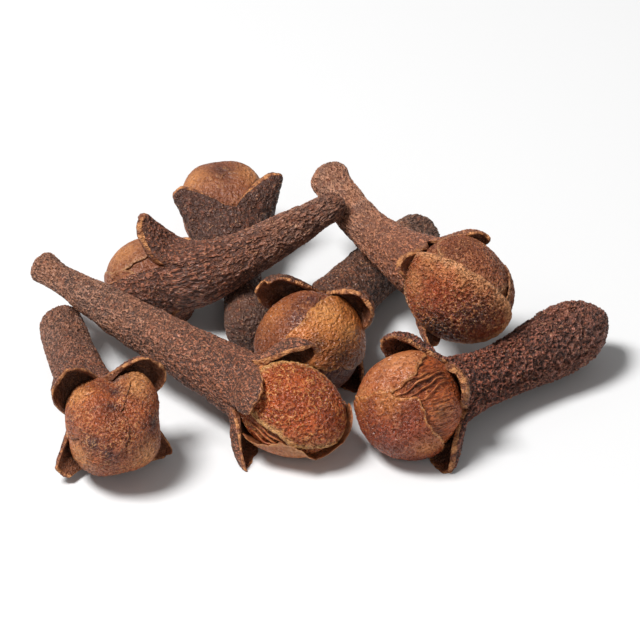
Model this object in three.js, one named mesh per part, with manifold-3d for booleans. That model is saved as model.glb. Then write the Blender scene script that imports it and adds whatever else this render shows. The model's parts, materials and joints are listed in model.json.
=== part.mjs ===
// A small loose heap of whole dried cloves, lying as they fell on a flat surface.
// Each clove is one solid: a tapering stem that widens into a cup, four horny teeth round the cup's rim,
// and the round flower bud that sits in it, wrapped in overlapping petals.
// Where a clove lies on the surface, it has a small flat spot.
// Units are millimetres: +X runs to the right, +Y away from the front of the heap, and +Z up.
import * as THREE from "three";
import { mergeVertices } from "three/addons/utils/BufferGeometryUtils.js";
import Module from "manifold-3d";

const wasm = await Module();
wasm.setup();

// ---- What all the cloves share ----

const HEAP_CENTRE = [14.5, 9.9]; // the middle of the heap's footprint, counted from its front left corner
const FLOOR_BLOCK = 40; // side of the block that trims the flat spots
const FLOOR_OVERHANG = 5; // how far that block reaches past the heap's front left corner
const WELD = 1e-4; // vertices closer than this are one
const BARK = { color: 0x5c4237, roughness: 0.85, metalness: 0 };

const TEETH = 4;
const SECTOR = 360 / TEETH; // degrees of the cup's rim that one tooth has
const ROOT_SPREAD = 12; // degrees that a tooth leans outwards where it leaves the cup
const ROOT_LENGTH = 0.9; // over this length a tooth turns to its full spread
const NOTCH = 0.12; // how far the rim stands up between two teeth
const TOOTH_THICKNESS = 0.38;
const TOOTH_THINNING = 0.4; // share of its thickness that a tooth loses by its tip
const TOOTH_HOLLOW = 0.55; // share of the spread that a tooth's side edges lack, which makes it boat-shaped
const TOOTH_BLUNTNESS = 1.7; // how square a tooth's tip is, from 1, pointed, upwards
const TOOTH_FULLNESS = 0.85; // how upright its sides are, from 1, sloping, down to 0
const TOOTH_STEPS = 16; // steps that the curve along a tooth is added up in
const CUP_FLOOR = 0.6; // height of the cup's floor above the roots of the teeth
const ROUND_FROM = 0.6; // from this share of its length a flattened stem grows round

const AROUND = 24; // faces round a stem and its cup
const CAP_ROWS = 3;
const STEM_ROWS = 9;
const TOOTH_ROWS = 4;
const INNER_ROWS = 3;
const BUD_AROUND = 18;
const BUD_ROWS = 11;
const PETAL_AROUND = 14;
const PETAL_ROWS = 3;
const PETAL_THICKNESS = 0.25;
const PETAL_SUNK = 0.12; // how far the inner face of a petal that hugs the bud lies below the bud's surface
const PETAL_WAVES = 5; // waves round a petal's ragged edge

// ---- The cloves ----
// tail, middle and neck are points on a stem's centre line, from its thin end to the rim of its cup.
// stem lists its radii at equal steps along that line. flat is its thickness over its width.
// A tooth's turn is from its quarter of the rim. spread is its lean outwards, and curl the further bend to
// its tip.
// A petal's turn and tilt give the direction of its middle as seen from the middle of the bud, from the first
// tooth and from the axis. reach is its half width in degrees, and flare how far its edge stands off the bud.

const CLOVES = [
  {
    name: "clove_front_left",
    tail: [2.6, 11.3, 1.25],
    middle: [3.5, 7.2, 1.45],
    neck: [4.75, 3.2, 2.05],
    roll: 45,
    cap: 0.6,
    stem: [1.0, 1.1, 1.15, 1.2, 1.5],
    flat: 0.9,
    bud: { radius: 2.15, length: 5.1, lift: 2.1 },
    teeth: [
      { turn: 0, length: 2.7, spread: 72, curl: 0 },
      { turn: 0, length: 2.5, spread: 72, curl: 0 },
      { turn: 5, length: 2.8, spread: 52, curl: 0 },
      { turn: 0, length: 2.8, spread: 52, curl: 0 },
    ],
    petals: [{ turn: 60, tilt: 60, reach: 48, flare: 0, ragged: 0.06 }],
  },
  {
    name: "clove_front_long",
    tail: [1.6, 12.85, 3.15],
    middle: [6.3, 8.4, 2.85],
    neck: [11.1, 4.5, 2.35],
    roll: 45,
    cap: 0.5,
    stem: [0.65, 0.85, 1.05, 1.25, 1.5],
    flat: 0.95,
    bud: { radius: 2.2, length: 4.9, lift: 2.5 },
    teeth: [
      { turn: 0, length: 2.9, spread: 45, curl: 0 },
      { turn: 0, length: 2.1, spread: 20, curl: 0 },
      { turn: 0, length: 3.0, spread: 44, curl: 0 },
      { turn: 0, length: 2.4, spread: 40, curl: 0 },
    ],
    petals: [
      { turn: 100, tilt: 50, reach: 70, flare: 0, ragged: 0.05 },
      { turn: 250, tilt: 62, reach: 60, flare: 0.22, ragged: 0.1 },
    ],
  },
  {
    name: "clove_front_right",
    tail: [27.4, 9.9, 1.85],
    middle: [23.8, 7.4, 1.65],
    neck: [20.5, 4.6, 1.95],
    roll: 45,
    cap: 1.1,
    stem: [1.6, 1.75, 1.6, 1.35, 1.5],
    flat: 0.85,
    bud: { radius: 2.25, length: 4.8, lift: 2.6 },
    teeth: [
      { turn: 0, length: 1.8, spread: 60, curl: 50 },
      { turn: 0, length: 3.0, spread: 45, curl: 0 },
      { turn: 0, length: 2.6, spread: 40, curl: 0 },
      { turn: 0, length: 3.2, spread: 55, curl: 0 },
    ],
    petals: [{ turn: 250, tilt: 55, reach: 75, flare: 0.05, ragged: 0.08 }],
  },
  {
    name: "clove_back_left",
    tail: [15.6, 15.4, 5.0],
    middle: [11.1, 13.1, 3.5],
    neck: [8.6, 12.8, 2.6],
    roll: 0,
    cap: 0.5,
    stem: [0.6, 0.8, 0.95, 1.1, 1.45],
    flat: 0.95,
    bud: { radius: 1.95, length: 4.5, lift: 2.1 },
    teeth: [
      { turn: 0, length: 2.9, spread: 30, curl: 0 },
      { turn: 0, length: 2.4, spread: 45, curl: 0 },
      { turn: 0, length: 2.0, spread: 35, curl: 0 },
      { turn: 0, length: 2.4, spread: 50, curl: 0 },
    ],
    petals: [],
  },
  {
    name: "clove_back_leaning",
    tail: [11.3, 9.8, 1.0],
    middle: [11.1, 13.0, 1.2],
    neck: [10.55, 16.5, 1.65],
    roll: 45,
    cap: 0.6,
    stem: [1.05, 1.1, 1.0, 0.95, 1.5],
    flat: 0.95,
    bud: { radius: 2.1, length: 4.6, lift: 2.4 },
    teeth: [
      { turn: 0, length: 2.8, spread: 36, curl: 0 },
      { turn: 0, length: 3.0, spread: 34, curl: 0 },
      { turn: 0, length: 2.6, spread: 32, curl: 0 },
      { turn: 0, length: 2.6, spread: 32, curl: 0 },
    ],
    petals: [],
  },
  {
    name: "clove_back_right",
    tail: [14.8, 18.9, 4.2],
    middle: [16.8, 14.7, 3.85],
    neck: [19.4, 11.1, 4.1],
    roll: 45,
    cap: 0.5,
    stem: [0.9, 0.88, 0.92, 1.15, 1.5],
    flat: 0.95,
    bud: { radius: 2.25, length: 4.7, lift: 2.4 },
    teeth: [
      { turn: 0, length: 2.6, spread: 45, curl: 0 },
      { turn: 0, length: 1.6, spread: 60, curl: 60 },
      { turn: 0, length: 3.1, spread: 40, curl: 0 },
      { turn: 0, length: 2.4, spread: 45, curl: 0 },
    ],
    petals: [{ turn: 108, tilt: 62, reach: 65, flare: 0.1, ragged: 0.05 }],
  },
  {
    name: "clove_middle",
    tail: [19.5, 18.4, 1.12],
    middle: [16.6, 14.0, 1.5],
    neck: [14.9, 10.5, 1.75],
    roll: 45,
    cap: 0.6,
    stem: [1.2, 1.3, 1.35, 1.4, 1.6],
    flat: 0.95,
    bud: { radius: 2.35, length: 5.0, lift: 2.5 },
    teeth: [
      { turn: 0, length: 2.1, spread: 50, curl: 50 },
      { turn: 0, length: 2.9, spread: 48, curl: 0 },
      { turn: 0, length: 2.6, spread: 40, curl: 0 },
      { turn: 0, length: 3.1, spread: 42, curl: 0 },
    ],
    petals: [{ turn: 20, tilt: 50, reach: 60, flare: 0, ragged: 0.06 }],
  },
];

// ---- Shapes ----

const radians = THREE.MathUtils.degToRad;
const { clamp, lerp, smoothstep } = THREE.MathUtils;

// A curve through evenly spaced values, at share 0 to 1 of its length.
function through(values, share) {
  const at = clamp(share, 0, 1) * (values.length - 1);
  const i = Math.min(Math.floor(at), values.length - 2);
  const t = at - i;
  const [a, b, c, d] = [i - 1, i, i + 1, i + 2].map((k) => values[clamp(k, 0, values.length - 1)]);
  return b + 0.5 * t * (c - a + t * (2 * a - 5 * b + 4 * c - d + t * (3 * (b - c) + d - a)));
}

// A sphere's grid of vertices, each moved to place(turn, row, rows): turn is in degrees round the axis, and
// row runs from 0 at the lower pole to rows at the upper one.
// A turn that falls from column to column faces the skin outwards.
function wrap(around, rows, place) {
  const geometry = new THREE.SphereGeometry(1, around, rows);
  const position = geometry.getAttribute("position");
  for (let row = 0; row <= rows; row++) {
    for (let column = 0; column <= around; column++) {
      const turn = (360 * ((around - column) % around)) / around;
      const point = place(row === 0 || row === rows ? 0 : turn, row, rows);
      position.setXYZ(row * (around + 1) + column, point.x, point.y, point.z);
    }
  }
  return geometry;
}

// The closed solid of a geometry whose vertices are in place.
function solidOf(geometry) {
  const bare = new THREE.BufferGeometry();
  bare.setAttribute("position", geometry.getAttribute("position"));
  bare.setIndex(geometry.getIndex());
  const merged = mergeVertices(bare, WELD);
  const triangles = [];
  const index = merged.getIndex().array;
  for (let i = 0; i < index.length; i += 3) {
    const [a, b, c] = index.slice(i, i + 3);
    if (a !== b && b !== c && c !== a) triangles.push(a, b, c);
  }
  const mesh = new wasm.Mesh({
    numProp: 3,
    vertProperties: new Float32Array(merged.getAttribute("position").array),
    triVerts: new Uint32Array(triangles),
  });
  return new wasm.Manifold(mesh);
}

// Where a clove lies. place takes a point given as sideways, upwards and along the axis from the neck, and
// gives its place in the heap.
// Below the neck the axis follows the stem's centre line, and above it runs straight on.
function poseOf({ tail, middle, neck, roll }) {
  const [from, via, to] = [tail, middle, neck].map((p) => new THREE.Vector3(...p));
  const control = via.clone().multiplyScalar(2).addScaledVector(from, -0.5).addScaledVector(to, -0.5);
  const line = new THREE.QuadraticBezierCurve3(from, control, to);
  const length = line.getLength();
  const axis = line.getTangentAt(1);
  const level = new THREE.Vector3(0, 0, 1).cross(axis).normalize();
  const side = level.clone().applyAxisAngle(axis, radians(roll));
  const top = axis.clone().cross(side);

  function place(sideways, upwards, along) {
    const share = clamp(1 + along / length, 0, 1);
    const bend = new THREE.Quaternion().setFromUnitVectors(axis, line.getTangentAt(share));
    const across = side.clone().multiplyScalar(sideways).addScaledVector(top, upwards).applyQuaternion(bend);
    const centre = along > 0 ? to.clone().addScaledVector(axis, along) : line.getPointAt(share);
    return centre.add(across);
  }
  return { length, place };
}

// A point on the outside of a tooth, reach millimetres up it from its root, at width -1 to 1 across it.
// Gives its distance from the axis, its height over the neck, and the tooth's lean there.
function alongTooth(tooth, rimRadius, reach, width) {
  let radius = rimRadius;
  let height = 0;
  let lean = 0;
  const held = 1 - TOOTH_HOLLOW * width * width;
  for (let step = 0; step <= TOOTH_STEPS; step++) {
    const done = (reach * (step + 0.5)) / TOOTH_STEPS;
    const opened = smoothstep(done, 0, ROOT_LENGTH);
    lean = radians(lerp(ROOT_SPREAD, tooth.spread, opened) * held + (tooth.curl * done) / tooth.length);
    if (step === TOOTH_STEPS) break;
    radius += (Math.sin(lean) * reach) / TOOTH_STEPS;
    height += (Math.cos(lean) * reach) / TOOTH_STEPS;
  }
  return { radius, height, lean };
}

// The stem with its cup and teeth, as one closed skin from the stem's end over the teeth to the cup's floor.
function stemAndCup(clove, pose) {
  const rimRadius = clove.stem.at(-1);
  const toothStart = CAP_ROWS + STEM_ROWS;
  const rim = toothStart + TOOTH_ROWS;
  const root = rim + 1 + INNER_ROWS;
  return wrap(AROUND, root + 1, (turn, row) => {
    const angle = radians(turn);
    if (row <= toothStart) {
      const fromEnd =
        row <= CAP_ROWS
          ? clove.cap * (1 - Math.cos((radians(90) * row) / CAP_ROWS))
          : lerp(clove.cap, pose.length, (row - CAP_ROWS) / STEM_ROWS);
      const share = fromEnd / pose.length;
      const rounding = row < CAP_ROWS ? Math.sin((radians(90) * row) / CAP_ROWS) : 1;
      const radius = through(clove.stem, share) * rounding;
      const flat = lerp(clove.flat, 1, smoothstep(share, ROUND_FROM, 1));
      return pose.place(radius * Math.cos(angle), radius * flat * Math.sin(angle), fromEnd - pose.length);
    }
    if (row === root + 1) return pose.place(0, 0, CUP_FLOOR);
    const quarter = Math.round(turn / SECTOR);
    const tooth = clove.teeth[quarter % TEETH];
    const offset = turn - quarter * SECTOR;
    const half = SECTOR / 2 + (offset > tooth.turn ? -tooth.turn : tooth.turn);
    const width = clamp((offset - tooth.turn) / half, -1, 1);
    const tall = (1 - Math.abs(width) ** TOOTH_BLUNTNESS) ** TOOTH_FULLNESS;
    const reach = lerp(NOTCH, tooth.length, tall);
    const outer = row <= rim;
    const share = outer ? (row - toothStart) / TOOTH_ROWS : 1 - (row - rim - 1) / INNER_ROWS;
    const at = alongTooth(tooth, rimRadius, reach * share, width);
    const spreadOut = Math.sqrt(rimRadius / at.radius);
    const turned = radians(quarter * SECTOR + tooth.turn + (offset - tooth.turn) * spreadOut);
    let { radius, height } = at;
    if (!outer) {
      const thickness = TOOTH_THICKNESS * (1 - (TOOTH_THINNING * reach * share) / tooth.length);
      radius -= Math.cos(at.lean) * thickness;
      height += Math.sin(at.lean) * thickness;
    }
    return pose.place(radius * Math.cos(turned), radius * Math.sin(turned), height);
  });
}

// The bud's own surface in a direction from the middle of the bud, raised by lift.
function onBud({ bud }, direction, lift = 0) {
  const across = bud.radius + lift;
  return [direction.x * across, direction.y * across, bud.lift + direction.z * (bud.length / 2 + lift)];
}

function directionOf(turn, tilt) {
  const [round, down] = [radians(turn), radians(tilt)];
  const level = Math.sin(down);
  return new THREE.Vector3(level * Math.cos(round), level * Math.sin(round), Math.cos(down));
}

function budBall(clove, pose) {
  return wrap(BUD_AROUND, BUD_ROWS, (turn, row, rows) =>
    pose.place(...onBud(clove, directionOf(turn, 180 * (1 - row / rows)))),
  );
}

// A petal: a thin shell that hugs the bud round its own middle and may stand off it towards its ragged edge.
function petalShell(clove, pose, { turn, tilt, reach, flare, ragged }) {
  const out = directionOf(turn, tilt);
  const across = directionOf(turn + 90, 90);
  const up = out.clone().cross(across);
  return wrap(PETAL_AROUND, 2 * PETAL_ROWS + 1, (round, row, rows) => {
    const outer = row > PETAL_ROWS;
    const share = (outer ? rows - row : row) / PETAL_ROWS;
    const edge = reach * (1 + ragged * Math.sin(radians(PETAL_WAVES * round)));
    const away = radians(edge * share);
    const direction = out.clone().multiplyScalar(Math.cos(away));
    direction.addScaledVector(across, Math.sin(away) * Math.cos(radians(round)));
    direction.addScaledVector(up, Math.sin(away) * Math.sin(radians(round)));
    const lift = flare * share * share - PETAL_SUNK + (outer ? PETAL_THICKNESS : 0);
    return pose.place(...onBud(clove, direction, lift));
  });
}

// ---- The heap ----

const floor = new THREE.BoxGeometry(FLOOR_BLOCK, FLOOR_BLOCK, FLOOR_BLOCK);
const floorMiddle = FLOOR_BLOCK / 2 - FLOOR_OVERHANG;
floor.translate(floorMiddle, floorMiddle, -FLOOR_BLOCK / 2);
const belowFloor = solidOf(floor);

// The largest of a solid's bodies, with no loose scraps and no sealed hollows.
function largestBody(solid) {
  return solid.decompose().reduce((best, body) => (body.volume() > best.volume() ? body : best));
}

function cloveMesh(clove) {
  const pose = poseOf(clove);
  const skins = [stemAndCup(clove, pose), budBall(clove, pose)];
  for (const petal of clove.petals) skins.push(petalShell(clove, pose, petal));
  const joined = skins.map(solidOf).reduce((whole, skin) => whole.add(skin));
  const { vertProperties, triVerts } = largestBody(joined.subtract(belowFloor)).getMesh();
  const geometry = new THREE.BufferGeometry();
  geometry.setAttribute("position", new THREE.BufferAttribute(vertProperties, 3));
  geometry.setIndex(new THREE.BufferAttribute(triVerts, 1));
  geometry.computeVertexNormals();
  const mesh = new THREE.Mesh(geometry, new THREE.MeshStandardMaterial(BARK));
  mesh.name = clove.name;
  return mesh;
}

const heap = new THREE.Group();
heap.add(...CLOVES.map(cloveMesh));
heap.position.set(-HEAP_CENTRE[0], -HEAP_CENTRE[1], 0);

export default heap;
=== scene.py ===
"""A small loose heap of whole dried cloves, in Blender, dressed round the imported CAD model.

Each clove has a wrinkled stem that widens into a cup with four horny teeth, a round bud in the cup, thin
papery petals wrapped round the bud, and fine pale grains. Shapes are worked out in millimetres, counted
from the front left corner of the heap's footprint, and put in place in metres.
"""

import math
from collections import namedtuple

import bpy
import numpy as np
from bpy.props import FloatProperty, FloatVectorProperty, PointerProperty
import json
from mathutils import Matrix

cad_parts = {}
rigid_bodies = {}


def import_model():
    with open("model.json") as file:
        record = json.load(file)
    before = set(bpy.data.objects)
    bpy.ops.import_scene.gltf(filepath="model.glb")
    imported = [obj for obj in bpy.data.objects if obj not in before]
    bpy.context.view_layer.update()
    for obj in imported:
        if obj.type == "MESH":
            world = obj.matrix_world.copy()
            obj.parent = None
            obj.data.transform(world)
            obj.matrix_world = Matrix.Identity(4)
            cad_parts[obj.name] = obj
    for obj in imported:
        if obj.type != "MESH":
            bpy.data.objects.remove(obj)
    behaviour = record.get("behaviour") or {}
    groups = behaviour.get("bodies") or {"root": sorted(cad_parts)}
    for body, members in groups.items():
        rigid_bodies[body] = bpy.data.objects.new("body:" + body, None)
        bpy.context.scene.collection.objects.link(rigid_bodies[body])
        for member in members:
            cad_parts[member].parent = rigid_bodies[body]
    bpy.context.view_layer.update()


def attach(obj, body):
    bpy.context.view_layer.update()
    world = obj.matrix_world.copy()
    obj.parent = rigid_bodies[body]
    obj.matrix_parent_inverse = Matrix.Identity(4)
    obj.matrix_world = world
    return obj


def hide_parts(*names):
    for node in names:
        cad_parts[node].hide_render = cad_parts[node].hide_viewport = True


bl_info = {
    "name": "Loose heap of whole cloves",
    "version": (1, 0, 0),
    "blender": (4, 5, 0),
    "location": "3D View > Sidebar > Cloves",
    "description": "Dresses a packed heap of whole cloves with bark, buds, petals and grains",
    "category": "Object",
}

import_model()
BODY = "root"
SEED = 1.0  # of every noise pattern
SEED_STEP = (7.1, 3.3, 5.7)  # how far one more seed moves a pattern
MM = 0.001

# ---- The stage ----

VIEW_TARGET = (0.05, -0.6, 2.5)  # the point that the camera looks at, in millimetres
PIXELS_PER_MM = 22
PICTURE_SIDE = 640
SENSOR_WIDTH = 36
CLIP_RANGE = (0.01, 20)
KEY_LAMP = ((-0.12, -0.04, 0.25), 0.09)  # place and size in metres
FRONT_LAMP = ((0.08, -0.26, 0.16), 0.12)
FRONT_SHARE = 0.09  # the front lamp's power over the key lamp's
FLOOR_ROUGHNESS = 0.9
SURFACE_SHARE = 0.65  # how light a surface itself is, over how light it looks in full light

# ---- What all the cloves share, in millimetres and degrees ----

HEAP_CENTRE = (14.5, 9.9, 0.0)  # middle of the heap's footprint, counted from its front left corner
LINE_POINTS = 401  # points along a stem's centre line
SOFT_FLOOR = 0.12  # within about this height of the floor a skin bends along it
NOISE_BLOCK = 50  # each skin's pattern starts somewhere within this distance of the noise's middle
STEM, BUD, PETALS, STRANDS, LUMPS = 1, 2, 3, 8, 9  # which of a clove's random numbers a part takes
SLOWEST_WAVE = 0.4  # turns of the slowest random wave, over those of the finest
WAVE_HEIGHT = 0.7

TEETH = 4
SECTOR = 360 / TEETH  # degrees of the cup's rim that one tooth has
ROUND_FROM = 0.6  # from this share of a stem's length its flatness fades into the round rim
ROOT_SPREAD = 12  # degrees that a tooth leans outwards where it leaves the cup
ROOT_LENGTH = 0.9  # over this length a tooth turns to its full spread
CURL_POWER = 1.5  # how late along a tooth its bend comes
TOOTH_THICKNESS = 0.38
TOOTH_THINNING = 0.4  # share of its thickness that a tooth loses by its tip
TOOTH_LUMPS = 0.25  # share by which its thickness varies at random
THIN_EDGE = 0.12  # an edge this thin frays most
TOOTH_EDGING = 0.45  # over this distance from its torn edge a tooth thins to its edge
EDGE_LIP = 0.1  # the thinning counts as begun this far beyond the edge
TOOTH_HOLLOW = 0.55  # share of the spread that a tooth's side edges lack, which makes it boat-shaped
TOOTH_BLUNTNESS = 2.4  # how square a tooth's tip is, from 1, pointed, upwards
TOOTH_FULLNESS = 0.65  # how upright its sides are, from 1, sloping, down to 0
TOOTH_STEPS = 24  # steps that the curve along a tooth is added up in
FRAYS = ((1.1, 0.06), (3.5, 0.025))  # finest turns in a millimetre, and depth over the tooth's length
LEAST_FRAY = 0.25  # share of the frays that a thick edge keeps
RIM_ROUNDNESS = 0.3  # height of the rounded rim over the tooth's thickness
CUP_FLOOR = 0.6  # height of the cup's floor above the roots of the teeth
CUP_COLOUR = (0.25, 0.95)  # towards the cup the bark darkens and its crests warm, between these shares of a stem's length
TORN_OUTSIDE, TORN_INSIDE = 0.05, 0.10  # how far the torn edge's light colour reaches down a tooth
WARM_REACH = 0.8  # how far its warm colour reaches down the inside
LOW_RIM = (0.1, 0.5)  # between these heights the rim becomes a torn edge
THICK_EDGE = (0.15, 0.4)  # between these thicknesses the edge loses some of its light colour
RELIEF_LOST = 0.65  # share of the bark's relief that the rim and the inside lack

PETAL_HEIGHT = 0.10  # how far a petal's outside stands over the bud's own surface
PETAL_THICKNESS = 0.22
PETAL_EDGE = 0.08  # thickness of a petal along its edge
PETAL_THIN_FROM = 0.7  # from this share of the way to its edge a petal thins
FLARE_WAVES = 0.4  # share by which its flare varies at random
INSIDE_SHADE = 0.8  # how strongly its inside takes the stain colour: painted shade under the petal
PETAL_CROWDING = 1.15  # how much a petal's faces crowd towards its edge, from 1, not at all, upwards
EDGE_STEPS = 720  # angles that a petal's edge is worked out at
EDGE_SOFTENING = 31  # over so many of them its corners are rounded
EDGE_FADING = 0.12  # within this distance of its edge a petal loses EDGE_SMOOTHNESS of its relief
EDGE_SMOOTHNESS = 0.6
CREASE_FADING = 0.6  # share of its depth that a crease loses by its end
STRAND_SHAKE = 1.5  # degrees that a strand wanders sideways
STRAND_TIP = 0.35  # radius of a strand's end over its middle

TOOTH_COLUMNS = 46  # faces round one tooth's quarter of the stem
SIDE_CROWDING = 0.8  # how much of them crowd towards the tooth's sides, from 0 to 1
CAP_ROWS = 16
STEM_ROW = 0.055  # length of a face along the stem
TOOTH_ROWS = 36
RIM_ROWS = 5
INNER_ROWS = 26
BUD_FACES = 60  # faces along each edge of the cube that the bud's ball is blown up from
PETAL_FACES = 52  # the same for the ball that is pressed into a petal
STRAND_STEPS = 24
STRAND_SIDES = 8
SMALLEST_GRAIN = 0.45  # over the largest
GRIT_DEPTH = 0.05  # depth of the finest roughness, which is in the shading alone
BARK_GRIT = 0.3  # how much of it bark has
SMOOTH = 0.16  # a bud has as much of it as its roughness is over this
BARK_ROUGHNESS = (0.68, 0.30)  # in its wrinkles and on their crests
REFRACTION = 1.45


def linear(red, green, blue):
    """A colour given as it looks in full light, 0 to 255 on a screen, as the shaders take it."""

    def one(value):
        share = max(value, 0) / 255
        light = share / 12.92 if share <= 0.04045 else ((share + 0.055) / 1.055) ** 2.4
        return SURFACE_SHARE * light

    return (one(red), one(green), one(blue))


# ---- The cloves ----
# tail, middle and neck are points on a stem's centre line, from its thin end to the rim of its cup. stem
# lists its radii at equal steps along that line, cap is the length of its rounded end, flat its thickness
# over its width, and roll the degrees that the clove is turned round its axis.
# notch is how far the rim stands up between two teeth. A tooth is its turn from its quarter of the rim, its
# length, its lean outwards, the further bend to its tip, how broad it stays by its tip, and how thick its
# edge is.
# wrinkle is the size, depth and lengthwise stretch of the bark's wrinkles, bark its main colour, and
# contrast how strongly its darks and lights show. look names the bud's look.
# A place on a bud is a turn from the first tooth and a tilt from the axis. stains are dark spots, real
# stains and some painted shade along a crease or in a torn opening; glows light ones, partly paler skin and
# partly painted highlight; and hollows dark ones that lie under the petals, painted shade in torn openings;
# each a place and a width. A bulge has a height as well. A crease is its two ends, its width and its depth.
# A strand, which is a loose fibre, is
# its radius and its places on the bud, each with its lift off it. grainy names the skins that grains stick
# to besides the stem.

Clove = namedtuple(
    "Clove", "name tail middle neck stem bud look teeth wrinkle bark contrast roll cap flat notch "
    "creases bulges stains glows hollows petals strands grainy",
    defaults=(1.0, 45, 0.6, 0.95, 0.12, (), (), (), (), (), (), (), ()))
# A bud's lift is the height of its middle over the rim. square is 2 for a round bud and more for a square
# one, corners is how far it stands out towards the teeth, and lumps how uneven it is.
Bud = namedtuple("Bud", "radius length lift square corners lumps", defaults=(2.0, 0.0, 0.03))
# A petal's turn and tilt are the place of its middle. flare is how far it stands off at its edge, margin
# how broad its light edge is, and edge its half width in degrees at angles round its middle.
Petal = namedtuple("Petal", "look turn tilt lift flare ragged margin edge")

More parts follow.
